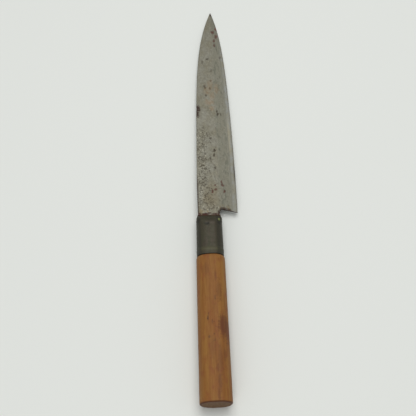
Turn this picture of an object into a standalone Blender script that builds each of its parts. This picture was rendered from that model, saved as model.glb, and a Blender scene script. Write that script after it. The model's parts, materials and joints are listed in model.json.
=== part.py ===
"""A single-bevel boning knife with a wooden handle, lying on its flat side.

The knife is modelled straight, in its own frame, with every piece parented to one empty:
  +X runs from the ferrule's mouth to the tip, with X = 0 at the mouth
  +Y is the spine side and -Y the cutting edge side, with Y = 0 on the handle's axis
  +Z is the bevelled face, with Z = 0 in the middle of the handle and of the tang
The empty then lays the knife on a table, resting on its tip and its ferrule. The world
origin is the middle of the whole knife's box, on the table. Lengths are in metres.
"""

import math

import bmesh
import bpy
from mathutils import Euler, Matrix, Vector

MM = 0.001

# Blade, from the heel to the tip
BLADE_LENGTH = 150.0 * MM
HEEL_HEIGHT = 25.6 * MM
TIP_BELOW_AXIS = 6.55 * MM
TIP_HEIGHT = 0.6 * MM  # the point is blunt by this much
SPINE_SWELL = 0.5 * MM  # rise of the spine in front of the neck
SWELL_LENGTH = 28.0 * MM
SPINE_TAPER = 3.5 * MM  # even fall of the spine, before its curve down to the tip
SPINE_CURVE = 6.2  # power: how late the spine turns down
BELLY_RISE = 6.6 * MM  # slow rise of the cutting edge
BELLY_BEND = 1.7  # power: how evenly that rise builds up
BELLY_CURVE = 8.0  # power: how late the edge turns up to the tip
HEEL_RAKE = math.radians(13.0)  # the heel's back edge leans towards the handle
HEEL_THICKNESS = 3.0 * MM
TIP_THICKNESS = 1.2 * MM
BEVEL_HEEL = 11.3 * MM  # height of the bevel at the heel
EDGE_THICKNESS = 0.25 * MM
SPINE_CHAMFER = 0.35 * MM

# The hard steel that is forged onto the flat side of the iron
STEEL_HEEL = 1.1 * MM
STEEL_TIP = 0.5 * MM
WELD_GAP = 0.05 * MM

# Neck and tang, one piece with the iron
NECK_LENGTH = 3.0 * MM  # from the mouth to the heel's corner
NECK_WIDTH = 13.6 * MM
NECK_FILLET = 2.2 * MM
NECK_RELIEF = 0.1 * MM  # the neck's faces lie this far inside the blade's
NECK_OVERLAP = 2.5 * MM  # how far the neck's bar reaches into the blade before they are joined
TANG_LENGTH = 75.0 * MM
TANG_ROOT_WIDTH = 10.0 * MM
TANG_END_WIDTH = 6.0 * MM
TANG_SHOULDER = 4.6 * MM  # length over which the neck narrows to the tang

# Oval section of the ferrule and the handle
FULLNESS = 2.4  # power of the oval, where 2 is an ellipse
RIDGE_HEIGHT = 0.5 * MM
RIDGE_PLACE = -0.38  # share of the half-width, towards the edge side
RIDGE_REACH = 0.5  # share of the half-width that the ridge slopes over
SECTION_POINTS = 56

# Ferrule, a pressed metal cap with a slot for the neck and a nose that closes in around it
FERRULE_LENGTH = 27.6 * MM
FERRULE_THICKNESS = 14.8 * MM  # across the flat sides, behind the nose
FERRULE_WALL = 0.8 * MM
MOUTH_WALL = 1.3 * MM
MOUTH_RIM = 0.3 * MM  # metal left beside the ends of the slot
MOUTH_LIP = 0.85 * MM  # metal left beside the long sides of the slot
MOUTH_FULLNESS = 6.0  # power of the mouth's outline, nearly a rectangle
NOSE_LENGTH = 6.5 * MM
NOSE_WALL = 1.1 * MM  # measured straight up, so the sloping metal is as thick as elsewhere
CHAMFER_RISE = 0.75 * MM  # what the nose takes off each narrow side
CHAMFER_RUN = 1.9 * MM
FERRULE_FLARE = 0.4 * MM  # growth of each half-width from front to rear
BEAD_HEIGHT = 0.15 * MM
BEAD_WIDTH = 2.4 * MM
BEAD_FROM_REAR = 2.2 * MM

# Packing around the neck in the ferrule's mouth
SEAL_WALL = 0.25 * MM
SEAL_PROUD = 0.7 * MM
SEAL_LIP = 0.3 * MM
SEAL_GAP = 0.05 * MM

# Wooden handle
WOOD_LENGTH = 93.3 * MM
WOOD_STEP = 0.5 * MM  # the wood stands this far proud of the ferrule
WOOD_SHOULDER = 3.0 * MM  # length of the rounded front shoulder
WOOD_FLARE = 1.0 * MM  # growth of each half-width towards the butt
BUTT_CHAMFER = 0.8 * MM
JOINT_GAP = 0.3 * MM  # between the ferrule's rim and the wood
TENON_CLEARANCE = 0.15 * MM
TANG_CLEARANCE = 0.3 * MM

# Attitude on the table
LYING_ROLL = math.radians(4.0)  # the edge side hangs a little lower

BLADE_STATIONS = 40
FILLET_STEPS = 6
CUT_MARGIN = 5.0 * MM  # how far a cutter stands clear of what it cuts

# What follows from the sizes above
FLAT_SIDE = -HEEL_THICKNESS / 2
TIP_X = NECK_LENGTH + BLADE_LENGTH
NECK_HALF_WIDTH = NECK_WIDTH / 2
SPINE_SIDE = NECK_HALF_WIDTH + NECK_RELIEF  # from the handle's axis to the spine at the heel
EDGE_SIDE = SPINE_SIDE - HEEL_HEIGHT
SLOT_CLEARANCE = SEAL_WALL + 2 * SEAL_GAP
NECK_HALF_THICKNESS = HEEL_THICKNESS / 2 - NECK_RELIEF
MOUTH_HALF_WIDTH = NECK_HALF_WIDTH + SLOT_CLEARANCE + MOUTH_RIM
MOUTH_HALF_THICKNESS = NECK_HALF_THICKNESS + SLOT_CLEARANCE + MOUTH_LIP
FERRULE_HALF_WIDTH = MOUTH_HALF_WIDTH + CHAMFER_RISE
FERRULE_HALF_THICKNESS = FERRULE_THICKNESS / 2
WOOD_FRONT = -FERRULE_LENGTH - JOINT_GAP
BUTT = WOOD_FRONT - WOOD_LENGTH


def clear_scene():
    for obj in list(bpy.data.objects):
        bpy.data.objects.remove(obj, do_unlink=True)


def mixed(start, end, share):
    return start + (end - start) * share


def blade_share(x):
    """How far x lies along the blade: 0 at the heel's corner and 1 at the tip."""
    return (x - NECK_LENGTH) / BLADE_LENGTH


def spine_y(x):
    t = max(blade_share(x), 0.0)
    still_to_rise = max(1 - t * BLADE_LENGTH / SWELL_LENGTH, 0.0)
    swollen = SPINE_SIDE + SPINE_SWELL * (1 - still_to_rise**2)
    curved = SPINE_SIDE + SPINE_SWELL - SPINE_TAPER + TIP_BELOW_AXIS - TIP_HEIGHT / 2
    return swollen - SPINE_TAPER * t - curved * t**SPINE_CURVE


def edge_y(x):
    t = max(blade_share(x), 0.0)
    curved = -TIP_BELOW_AXIS - TIP_HEIGHT / 2 - EDGE_SIDE - BELLY_RISE
    return EDGE_SIDE + BELLY_RISE * t**BELLY_BEND + curved * t**BELLY_CURVE


def bevel_height(x):
    """The bevel keeps its share of the blade's height as both narrow to the tip."""
    return BEVEL_HEEL * (spine_y(x) - edge_y(x)) / HEEL_HEIGHT


def thickness(x):
    return mixed(HEEL_THICKNESS, TIP_THICKNESS, max(blade_share(x), 0.0))


def steel_top(x):
    return FLAT_SIDE + mixed(STEEL_HEEL, STEEL_TIP, blade_share(x))


def bevel_y(x, z):
    """Where the bevel has come down to height z."""
    rise = thickness(x) - EDGE_THICKNESS
    return edge_y(x) + bevel_height(x) * (z - FLAT_SIDE - EDGE_THICKNESS) / rise


def heel_x(y):
    """The line of the heel's back edge."""
    return NECK_LENGTH + (y - EDGE_SIDE) * math.tan(HEEL_RAKE)


def chamfer_at(x):
    return min(SPINE_CHAMFER, (spine_y(x) - edge_y(x)) / 4)


def iron_corners():
    """Each corner of the blade's section, as functions of x for its y and its z."""
    return [
        (lambda x: spine_y(x) - chamfer_at(x), lambda x: FLAT_SIDE),
        (spine_y, lambda x: FLAT_SIDE + chamfer_at(x)),
        (spine_y, lambda x: FLAT_SIDE + thickness(x) - chamfer_at(x)),
        (lambda x: spine_y(x) - chamfer_at(x), lambda x: FLAT_SIDE + thickness(x)),
        (lambda x: edge_y(x) + bevel_height(x), lambda x: FLAT_SIDE + thickness(x)),
        (edge_y, lambda x: FLAT_SIDE + EDGE_THICKNESS),
        (edge_y, lambda x: FLAT_SIDE),
    ]


def steel_corners():
    return [
        (lambda x: spine_y(x) - chamfer_at(x), lambda x: FLAT_SIDE),
        (spine_y, lambda x: FLAT_SIDE + chamfer_at(x)),
        (spine_y, steel_top),
        (lambda x: bevel_y(x, steel_top(x)), steel_top),
        (edge_y, lambda x: FLAT_SIDE + EDGE_THICKNESS),
        (edge_y, lambda x: FLAT_SIDE),
    ]


def blade_rings(corners):
    """Rings from the line of the heel to the tip, closer together near the tip."""
    rings = []
    for station in range(BLADE_STATIONS + 1):
        share = 1 - (1 - station / BLADE_STATIONS) ** 1.5
        ring = []
        for y_of, z_of in corners:
            start = heel_x(y_of(NECK_LENGTH))
            x = mixed(start, TIP_X, share)
            ring.append(Vector((x, y_of(x), z_of(x))))
        rings.append(ring)
    return rings


def oval(x, half_width, half_thickness, fullness=FULLNESS):
    """A full oval across the knife at x, with a soft ridge on its upper side."""
    ring = []
    for index in range(SECTION_POINTS):
        angle = 2 * math.pi * index / SECTION_POINTS
        across, up = math.cos(angle), math.sin(angle)
        y = math.copysign(abs(across) ** (2 / fullness), across)
        z = math.copysign(abs(up) ** (2 / fullness), up)
        ridge = max(0.0, 1 - abs(y - RIDGE_PLACE) / RIDGE_REACH) * max(z, 0.0)
        ring.append(Vector((x, y * half_width, z * half_thickness + ridge * RIDGE_HEIGHT)))
    return ring


def rectangle(x, low_y, high_y, half_z):
    return [
        Vector((x, high_y, half_z)),
        Vector((x, low_y, half_z)),
        Vector((x, low_y, -half_z)),
        Vector((x, high_y, -half_z)),
    ]


def ferrule_half_sizes(x):
    """Half-width and half-thickness of the ferrule's outside behind its chamfer."""
    growth = FERRULE_FLARE * (-x - CHAMFER_RUN) / (FERRULE_LENGTH - CHAMFER_RUN)
    return FERRULE_HALF_WIDTH + growth, FERRULE_HALF_THICKNESS + growth


def grown(x, sizes, by):
    return oval(x, sizes[0] + by, sizes[1] + by)


def nose_ring(x, wall_y=0.0, wall_z=0.0):
    """Across the ferrule's nose, which is domed from its mouth to its full thickness."""
    share = -x / NOSE_LENGTH
    full_y, full_z = ferrule_half_sizes(min(x, -CHAMFER_RUN))
    half_width = mixed(MOUTH_HALF_WIDTH, full_y, min(-x / CHAMFER_RUN, 1.0))
    half_thickness = mixed(MOUTH_HALF_THICKNESS, full_z, math.sin(share * math.pi / 2))
    fullness = mixed(MOUTH_FULLNESS, FULLNESS, share)
    return oval(x, half_width - wall_y, half_thickness - wall_z, fullness)


def lofted(name, rings, material):
    """A closed object through the rings, with a flat cap on each end."""
    shape = bmesh.new()
    loops = [[shape.verts.new(point) for point in ring] for ring in rings]
    count = len(loops[0])
    for near, far in zip(loops, loops[1:]):
        for i in range(count):
            j = (i + 1) % count
            shape.faces.new((near[i], near[j], far[j], far[i]))
    shape.faces.new(list(reversed(loops[0])))
    shape.faces.new(loops[-1])
    bmesh.ops.recalc_face_normals(shape, faces=shape.faces)
    return placed(name, shape, material)


def extruded(name, outline, half_z, material):
    """An outline in the XY plane made a plate that is 2 * half_z thick."""
    shape = bmesh.new()
    face = shape.faces.new([shape.verts.new((x, y, -half_z)) for x, y in outline])
    raised = bmesh.ops.extrude_face_region(shape, geom=[face])["geom"]
    top = [item for item in raised if isinstance(item, bmesh.types.BMVert)]
    bmesh.ops.translate(shape, verts=top, vec=(0, 0, 2 * half_z))
    bmesh.ops.recalc_face_normals(shape, faces=shape.faces)
    return placed(name, shape, material)


def placed(name, shape, material):
    mesh = bpy.data.meshes.new(name)
    shape.to_mesh(mesh)
    shape.free()
    mesh.shade_smooth()
    mesh.set_sharp_from_angle(angle=math.radians(25))
    obj = bpy.data.objects.new(name, mesh)
    bpy.context.scene.collection.objects.link(obj)
    if material is None:
        obj.hide_render = True
        obj.display_type = "WIRE"
    else:
        mesh.materials.append(material)
    return obj


def combined(obj, operation, other):
    step = obj.modifiers.new(operation.lower() + "_" + other.name, "BOOLEAN")
    step.operation = operation
    step.solver = "EXACT"
    step.object = other


def finish(name, colour, roughness, metallic):
    material = bpy.data.materials.new(name)
    material.use_nodes = True
    shader = material.node_tree.nodes["Principled BSDF"]
    shader.inputs["Base Color"].default_value = (*colour, 1.0)
    shader.inputs["Roughness"].default_value = roughness
    shader.inputs["Metallic"].default_value = metallic
    return material


def notch_fillet(half_width):
    """Points of the round corner between the neck's edge side and the heel's back edge."""
    corner = Vector((heel_x(-half_width), -half_width))
    to_handle = Vector((-1.0, 0.0))
    to_heel = Vector((-math.sin(HEEL_RAKE), -math.cos(HEEL_RAKE)))
    half_angle = to_handle.angle(to_heel) / 2
    inwards = (to_handle + to_heel).normalized()
    centre = corner + inwards * (NECK_FILLET / math.sin(half_angle))
    first = corner + to_handle * (NECK_FILLET / math.tan(half_angle)) - centre
    last = corner + to_heel * (NECK_FILLET / math.tan(half_angle)) - centre
    turn = first.angle_signed(last)
    points = []
    for step in range(FILLET_STEPS + 1):
        spin = Matrix.Rotation(-turn * step / FILLET_STEPS, 2)
        points.append(centre + spin @ first)
    return points


def tang_sides(margin):
    """The edge side of the neck and tang from the tang's end to the mouth, as (x, half-width)."""
    return [
        (-TANG_LENGTH - margin, TANG_END_WIDTH / 2 + margin),
        (-MOUTH_WALL - TANG_SHOULDER, TANG_ROOT_WIDTH / 2 + margin),
        (-MOUTH_WALL, NECK_HALF_WIDTH + margin),
    ]


def neck_and_tang(material):
    sides = tang_sides(0.0)
    fillet = [tuple(point) for point in notch_fillet(NECK_HALF_WIDTH)]
    inner_x, inner_y = fillet[-1]
    spine = SPINE_SIDE - SPINE_CHAMFER
    outline = [(x, -half) for x, half in sides]
    outline += fillet
    outline.append((inner_x + NECK_OVERLAP, inner_y))
    outline.append((heel_x(spine) + NECK_OVERLAP, spine))
    outline.append((heel_x(spine), NECK_HALF_WIDTH))
    outline += [(x, half) for x, half in reversed(sides)]
    return extruded("neck_and_tang", outline, NECK_HALF_THICKNESS, material)


def steel_pocket():
    """A wedge that clears the room for the steel on the flat side of the iron."""
    front = TIP_X + CUT_MARGIN
    low = FLAT_SIDE - CUT_MARGIN
    rings = []
    for wide in (SPINE_SIDE + CUT_MARGIN, EDGE_SIDE - CUT_MARGIN):
        back = heel_x(wide) - WELD_GAP
        rings.append(
            [
                Vector((back, wide, low)),
                Vector((front, wide, low)),
                Vector((front, wide, steel_top(front) + WELD_GAP)),
                Vector((back, wide, steel_top(back) + WELD_GAP)),
            ]
        )
    return lofted("steel_pocket", rings, None)


def make_blade_iron(material):
    blade = lofted("blade_iron", blade_rings(iron_corners()), material)
    tang = neck_and_tang(None)
    pocket = steel_pocket()
    combined(blade, "UNION", tang)
    combined(blade, "DIFFERENCE", pocket)
    return [blade, tang, pocket]


def make_edge_steel(material):
    return [lofted("edge_steel", blade_rings(steel_corners()), material)]


def slot_cutter(name, clearance, low_x, high_x):
    """A bar around the neck, a clearance larger on every side."""
    half = NECK_HALF_WIDTH + clearance
    rings = [rectangle(x, -half, half, NECK_HALF_THICKNESS + clearance) for x in (low_x, high_x)]
    return lofted(name, rings, None)


def make_ferrule(material):
    bead_rear = -FERRULE_LENGTH + BEAD_FROM_REAR
    bead_front = bead_rear + BEAD_WIDTH
    nose = (-CHAMFER_RUN, -NOSE_LENGTH / 2, -NOSE_LENGTH * 3 / 4, -NOSE_LENGTH)
    outside = [nose_ring(0.0)] + [nose_ring(x) for x in nose]
    for x, height in (
        (bead_front, 0.0),
        (bead_front - BEAD_WIDTH / 3, BEAD_HEIGHT),
        (bead_rear + BEAD_WIDTH / 3, BEAD_HEIGHT),
        (bead_rear, 0.0),
        (-FERRULE_LENGTH, 0.0),
    ):
        outside.append(grown(x, ferrule_half_sizes(x), height))
    inside = [grown(x, ferrule_half_sizes(x), -FERRULE_WALL) for x in (-FERRULE_LENGTH, -NOSE_LENGTH)]
    for x in (-NOSE_LENGTH / 2, -MOUTH_WALL):
        inside.append(nose_ring(x, FERRULE_WALL, NOSE_WALL))
    ferrule = lofted("ferrule", outside + inside, material)
    slot = slot_cutter("ferrule_slot", SLOT_CLEARANCE, -MOUTH_WALL - CUT_MARGIN, CUT_MARGIN)
    combined(ferrule, "DIFFERENCE", slot)
    return [ferrule, slot]


def make_neck_seal(material):
    """Packing in the slot, with a lip that lies on the ferrule's mouth."""
    sleeve = NECK_HALF_WIDTH + SEAL_GAP + SEAL_WALL
    sleeve_z = NECK_HALF_THICKNESS + SEAL_GAP + SEAL_WALL
    rings = []
    for x, out in (
        (-MOUTH_WALL, 0.0),
        (SEAL_GAP, 0.0),
        (SEAL_GAP, SEAL_LIP),
        (mixed(SEAL_GAP, SEAL_PROUD, 0.5), SEAL_LIP),
        (SEAL_PROUD, 0.0),
    ):
        rings.append(rectangle(x, -sleeve - out, sleeve + out, sleeve_z + out))
    seal = lofted("neck_seal", rings, material)
    neck = slot_cutter("neck_space", SEAL_GAP, -MOUTH_WALL - CUT_MARGIN, CUT_MARGIN)
    combined(seal, "DIFFERENCE", neck)
    return [seal, neck]


def make_handle(material):
    rear = ferrule_half_sizes(-FERRULE_LENGTH)
    rings = []
    for x in (-NOSE_LENGTH - TENON_CLEARANCE, WOOD_FRONT):
        sizes = ferrule_half_sizes(max(x, -FERRULE_LENGTH))
        rings.append(grown(x, sizes, -FERRULE_WALL - TENON_CLEARANCE))
    shoulder_rear = WOOD_FRONT - WOOD_SHOULDER
    chamfer_front = BUTT + BUTT_CHAMFER
    rings.append(grown(WOOD_FRONT, rear, 0.0))
    for share, height in ((0.15, 0.55), (0.45, 0.85), (1.0, 1.0)):
        x = mixed(WOOD_FRONT, shoulder_rear, share)
        rings.append(grown(x, rear, WOOD_STEP * height))
    rings.append(grown(chamfer_front, rear, WOOD_STEP + WOOD_FLARE))
    rings.append(grown(BUTT, rear, WOOD_STEP + WOOD_FLARE - BUTT_CHAMFER))
    handle = lofted("handle", rings, material)

    sides = tang_sides(TANG_CLEARANCE)
    sides.append((CUT_MARGIN, sides[-1][1]))
    outline = [(x, -half) for x, half in sides] + [(x, half) for x, half in reversed(sides)]
    hole = extruded("tang_hole", outline, NECK_HALF_THICKNESS + TANG_CLEARANCE, None)
    combined(handle, "DIFFERENCE", hole)
    return [handle, hole]


def lay_on_table(pieces):
    """Turns and moves the knife's empty so that the tip and the handle touch the table."""
    roll = Euler((LYING_ROLL, 0, 0)).to_matrix()
    shapes = [obj for obj in pieces if not obj.hide_render]
    points = [roll @ vert.co for obj in shapes for vert in obj.data.vertices]
    tip = min((p for p in points if p.x > TIP_X - TIP_HEIGHT), key=lambda p: p.z)
    tilt = max(math.atan2(tip.z - p.z, tip.x - p.x) for p in points if p.x < 0)

    lying = Euler((0, tilt, 0)).to_matrix() @ roll
    points = [lying @ vert.co for obj in shapes for vert in obj.data.vertices]
    low = [min(p[axis] for p in points) for axis in range(3)]
    high = [max(p[axis] for p in points) for axis in range(3)]
    knife = bpy.data.objects.new("knife", None)
    bpy.context.scene.collection.objects.link(knife)
    knife.rotation_euler = lying.to_euler()
    knife.location = (-(low[0] + high[0]) / 2, -(low[1] + high[1]) / 2, -low[2])
    for obj in pieces:
        obj.parent = knife


def main():
    clear_scene()
    iron = finish("iron", (0.22, 0.205, 0.165), 0.5, 0.9)
    steel = finish("steel", (0.30, 0.295, 0.265), 0.35, 0.95)
    brass = finish("patinated_brass", (0.062, 0.054, 0.035), 0.45, 0.7)
    packing = finish("packing", (0.055, 0.022, 0.014), 0.9, 0.0)
    wood = finish("wood", (0.21, 0.10, 0.035), 0.6, 0.0)

    pieces = make_blade_iron(iron)
    pieces += make_edge_steel(steel)
    pieces += make_ferrule(brass)
    pieces += make_neck_seal(packing)
    pieces += make_handle(wood)
    lay_on_table(pieces)


main()
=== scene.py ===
"""The looks of an old single-bevel boning knife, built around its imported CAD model.

Each piece is a fine mesh in the knife's own frame, and is laid where the CAD has it:
  +X runs from the ferrule's mouth, at X = 0, to the tip
  +Y is the spine side and -Y the cutting edge side, with Y = 0 on the handle's axis
  +Z is the bevelled face, with Z = 0 in the middle of the tang
Lengths are in millimetres until a mesh is handed to Blender.
"""

import itertools
import json
import math

import bmesh
import bpy
import numpy as np
from mathutils import Matrix, Vector
from mathutils.kdtree import KDTree


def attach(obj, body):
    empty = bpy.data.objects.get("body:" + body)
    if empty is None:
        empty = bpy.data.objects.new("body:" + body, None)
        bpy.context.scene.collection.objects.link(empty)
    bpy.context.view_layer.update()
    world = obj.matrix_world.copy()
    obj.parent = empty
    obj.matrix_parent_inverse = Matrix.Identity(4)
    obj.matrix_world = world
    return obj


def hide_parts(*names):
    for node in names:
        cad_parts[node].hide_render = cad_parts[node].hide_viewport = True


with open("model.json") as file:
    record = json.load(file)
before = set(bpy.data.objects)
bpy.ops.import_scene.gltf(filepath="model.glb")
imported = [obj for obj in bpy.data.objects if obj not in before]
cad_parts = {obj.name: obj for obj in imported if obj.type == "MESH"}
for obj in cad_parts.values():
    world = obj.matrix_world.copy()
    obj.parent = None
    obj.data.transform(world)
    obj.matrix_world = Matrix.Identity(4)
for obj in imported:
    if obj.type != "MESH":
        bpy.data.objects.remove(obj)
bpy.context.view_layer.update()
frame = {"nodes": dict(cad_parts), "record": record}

MM = 0.001

# The camera: where it looks, and from how far and how steeply
VIEW_ANGLE = math.radians(22.0)
VIEW_LEAN = math.radians(20.69)  # from straight above towards the butt
VIEW_ROLL = math.radians(2.24)
VIEW_TARGET = Vector((-9.13, 4.58, 5.91)) * MM
VIEW_DISTANCE = 688.3 * MM

# Sections of the ferrule and the handle
FULLNESS = 2.4  # power of the oval, where 2 is an ellipse
RIDGE_HEIGHT = 0.5
RIDGE_PLACE = -0.38  # share of the half-width, towards the edge side
RIDGE_REACH = 0.5

# Blade
ROUNDING = np.array([0.0, 0.03, 0.12, 0.25, 0.42])  # rows over a worn, rounded corner
SPINE_ROUND = 0.42
HEEL_ROUND = 0.25
GRID = 0.3  # spacing of the blade's surface points
WELD_GAP = 0.02
COVERED_ROWS = 30  # rows of the steel's points that the iron covers
NOTCH_RADIUS = 2.2
NOTCH_BAND = 0.5  # rows that follow the notch's round corner lie within this width
EDGE_LEFT = 0.12  # thickness of the worn cutting edge
TIP_NOSE = 0.7
HOLLOW = 0.16  # depth of the hollow grind on the flat side

# Ferrule, packing and handle
CHAMFER_RUN = 1.9
NOSE_LENGTH = 6.5
NOSE_WALL = 1.1
NOSE_RINGS = 34  # rings of the ferrule's points on its front and its nose
FERRULE_HALVES = np.array([8.6, 7.6])  # rough half-sizes, for the direction its skin faces
HANDLE_HALVES = np.array([9.6, 8.6])
MOUTH_FULLNESS = 6.0
FERRULE_FLARE = 0.4
FERRULE_WALL = 0.8
MOUTH_WALL = 1.3
MOUTH_ROUND = 0.12
MOUTH_RUST = 2.5  # how far rust has spread on the neck in front of the ferrule
SLOT_CLEARANCE = 0.35
BEAD_HEIGHT = 0.15
BEAD_MIDDLE = 3.4  # from the ferrule's rear
BEAD_WIDTH = 2.4
SEAL_GAP = 0.05
SEAL_WALL = 0.25
SEAL_PROUD = 0.7
SEAL_LIP = 0.3
JOINT_GAP = 0.3
WOOD_STEP = 0.5
WOOD_SHOULDER = 3.0
BUTT_CHAMFER = 0.8
TENON_CLEARANCE = 0.15
TANG_CLEARANCE = 0.3

NOISE_CELLS = 48


# ---------------------------------------------------------------- the knife's frame

def mount(name):
    found = next(item for item in frame["record"]["mounts"] if item["name"] == name)
    return Vector(found["pos_m"]), Vector(found["axis"]).normalized()


def knife_frame():
    """From the knife's frame to the world, worked out from the record's two mounts."""
    butt, out_of_butt = mount("butt_end")
    along = -out_of_butt
    up = -mount("blade_flat")[1]
    up = (up - along * up.dot(along)).normalized()
    turn = Matrix((along, up.cross(along), up)).transposed()
    ferrule = frame["nodes"]["ferrule"].data.vertices
    mouth = max(along.dot(vertex.co - butt) for vertex in ferrule)
    return Matrix.Translation(butt + along * mouth) @ turn.to_4x4()


KNIFE = knife_frame()


def corners_of(node):
    """The CAD node's corners in the knife's frame, in millimetres."""
    world = np.array([vertex.co for vertex in frame["nodes"][node].data.vertices])
    back = np.array(KNIFE.inverted())
    return (world @ back[:3, :3].T + back[:3, 3]) / MM


def hull_line(across, up, side, past_steep=False):
    """The outermost line from its highest point on (its lowest with side -1), or past its steep start."""
    line = []
    for x, y in sorted(zip(np.round(across, 2), up * side)):
        while len(line) > 1:
            (x0, y0), (x1, y1) = line[-2:]
            if (x1 - x0) * (y - y0) < (y1 - y0) * (x - x0):
                break
            line.pop()
        line.append((x, y))
    line = np.array(line)
    rises = np.diff(line, axis=0)
    first = np.argmax(rises[:, 1] < rises[:, 0]) if past_steep else line[:, 1].argmax()
    line = line[first:]
    return line[:, 0], line[:, 1] * side


def smooth_curve(xs, ys):
    """A smooth function through the points."""
    slopes = np.gradient(ys, xs)

    def curve(x):
        x = np.asarray(x, float)
        near = np.clip(np.searchsorted(xs, x) - 1, 0, len(xs) - 2)
        width = xs[near + 1] - xs[near]
        share = np.clip((x - xs[near]) / width, 0, 1)
        start = ys[near] + slopes[near] * width * share
        end = ys[near + 1] - slopes[near + 1] * width * (1 - share)
        inside = start + (end - start) * share * share * (3 - 2 * share)
        beyond = np.minimum(x - xs[0], 0) * slopes[0]
        return inside + beyond

    return curve


def straight(xs, ys):
    slope = (ys[-1] - ys[0]) / (xs[-1] - xs[0])
    return lambda x: ys[0] + slope * (np.asarray(x, float) - xs[0])


def mixed(start, end, share):
    return start + (end - start) * share


def eased(share):
    share = np.clip(share, 0, 1)
    return share * share * (3 - 2 * share)


def noise(points, size, seed):
    """Smooth noise from -1 to 1 with bumps about size across, for an array of points."""
    table = np.random.default_rng(seed).uniform(-1, 1, (NOISE_CELLS,) * 3)
    cell, share = np.divmod(points / np.array(size), 1)
    share = eased(share)
    total = np.zeros(len(points))
    for corner in itertools.product((0, 1), repeat=3):
        index = ((cell + corner) % NOISE_CELLS).astype(int)
        weight = np.where(corner, share, 1 - share).prod(axis=1)
        total += table[index[:, 0], index[:, 1], index[:, 2]] * weight
    return total


# ---------------------------------------------------------------- sizes of the CAD pieces

IRON = corners_of("blade_iron")
STEEL = corners_of("edge_steel")
FERRULE = corners_of("ferrule")
HANDLE = corners_of("handle")

TIP = STEEL[:, 0].max()
HEEL = STEEL[:, 0].min()
FLAT_SIDE = STEEL[:, 2].min()
BLADE = TIP - HEEL
spine_line = hull_line(STEEL[:, 0], STEEL[:, 1], 1, past_steep=True)
spine_y = smooth_curve(*spine_line)
edge_y = smooth_curve(*hull_line(STEEL[:, 0], STEEL[:, 1], -1))
steel_top = straight(*hull_line(STEEL[:, 0], STEEL[:, 2], 1))
crest = IRON[IRON[:, 2].argmax()]
BEVEL_SHARE = (crest[1] - edge_y(crest[0])) / (spine_y(crest[0]) - edge_y(crest[0]))
ahead = IRON[IRON[:, 0] >= crest[0]]
flat_top = straight(*hull_line(ahead[:, 0], ahead[:, 2], 1))
HEEL_LEAN = (spine_line[0][0] - HEEL) / (spine_line[1][0] - edge_y(HEEL))

NECK = IRON[IRON[:, 0] < -MOUTH_WALL / 2]
NECK_HALF_WIDTH = NECK[:, 1].max()
NECK_HALF_THICKNESS = NECK[:, 2].max()
TANG_END = NECK[:, 0].min()
TANG_END_HALF = NECK[NECK[:, 0] < TANG_END + 0.1][:, 1].max()
tang_root = NECK[(NECK[:, 0] < -2 * MOUTH_WALL) & (NECK[:, 0] > TANG_END + 1)]
TANG_ROOT = tang_root[:, 0].max()
TANG_ROOT_HALF = tang_root[:, 1].max()

FERRULE_REAR = FERRULE[:, 0].min()
mouth_ring = FERRULE[FERRULE[:, 0] > -0.1]
MOUTH_SIZES = np.array([mouth_ring[:, 1].max(), -mouth_ring[:, 2].min()])
rear_ring = FERRULE[FERRULE[:, 0] < FERRULE_REAR + 0.1]
REAR_SIZES = np.array([rear_ring[:, 1].max(), -rear_ring[:, 2].min()])
BUTT = HANDLE[:, 0].min()
WIDEST_SIZES = np.array([HANDLE[:, 1].max(), -HANDLE[:, 2].min()])
FRONT_SIZES = REAR_SIZES - FERRULE_FLARE
WOOD_FRONT = FERRULE_REAR - JOINT_GAP


# ---------------------------------------------------------------- making meshes

def laid(name, node, points, faces, material, layers=None):
    """A piece that stands for a CAD node, with its values per point kept as attributes."""
    mesh = bpy.data.meshes.new(name)
    mesh.from_pydata((points * MM).tolist(), [], faces)
    place = mesh.attributes.new("place", "FLOAT_VECTOR", "POINT")
    place.data.foreach_set("vector", np.asarray(points, np.float32).ravel())
    for layer, values in (layers or {}).items():
        attribute = mesh.attributes.new(layer, "FLOAT", "POINT")
        attribute.data.foreach_set("value", np.asarray(values, np.float32))
    shape = bmesh.new()
    shape.from_mesh(mesh)
    bmesh.ops.recalc_face_normals(shape, faces=shape.faces)
    shape.to_mesh(mesh)
    shape.free()
    mesh.shade_smooth()
    mesh.set_sharp_from_angle(angle=math.radians(38))
    mesh.materials.append(material)
    mesh.transform(KNIFE)
    piece = bpy.data.objects.new(name, mesh)
    bpy.context.scene.collection.objects.link(piece)
    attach(piece, "root")
    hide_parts(node)
    return piece


def sheet_faces(ids):
    """The quads of a grid of point numbers."""
    corners = (ids[:-1, :-1], ids[1:, :-1], ids[1:, 1:], ids[:-1, 1:])
    return np.stack([corner.ravel() for corner in corners], axis=1)


def plate(top, bottom, quads, wall_rows):
    """Closes two matching surfaces with walls along their open edges."""
    count = len(top)
    edges = np.concatenate([quads[:, [i, (i + 1) % 4]] for i in range(4)])
    keys = np.sort(edges, axis=1)
    _, first, uses = np.unique(keys, axis=0, return_index=True, return_counts=True)
    border = edges[first[uses == 1]]
    rim = np.unique(border)
    points = [top, bottom]
    rows = [np.arange(count)]
    for row in range(1, wall_rows):
        ids = np.zeros(count, int)
        ids[rim] = (row + 1) * count + np.arange(len(rim)) - (row - 1) * (count - len(rim))
        points.append(mixed(top[rim], bottom[rim], row / wall_rows))
        rows.append(ids)
    rows.append(np.arange(count) + count)
    faces = [quads, quads[:, ::-1] + count]
    for high, low in zip(rows, rows[1:]):
        start, end = border[:, 0], border[:, 1]
        faces.append(np.stack([high[end], high[start], low[start], low[end]], axis=1))
    return np.concatenate(points), np.concatenate(faces).tolist()


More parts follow.
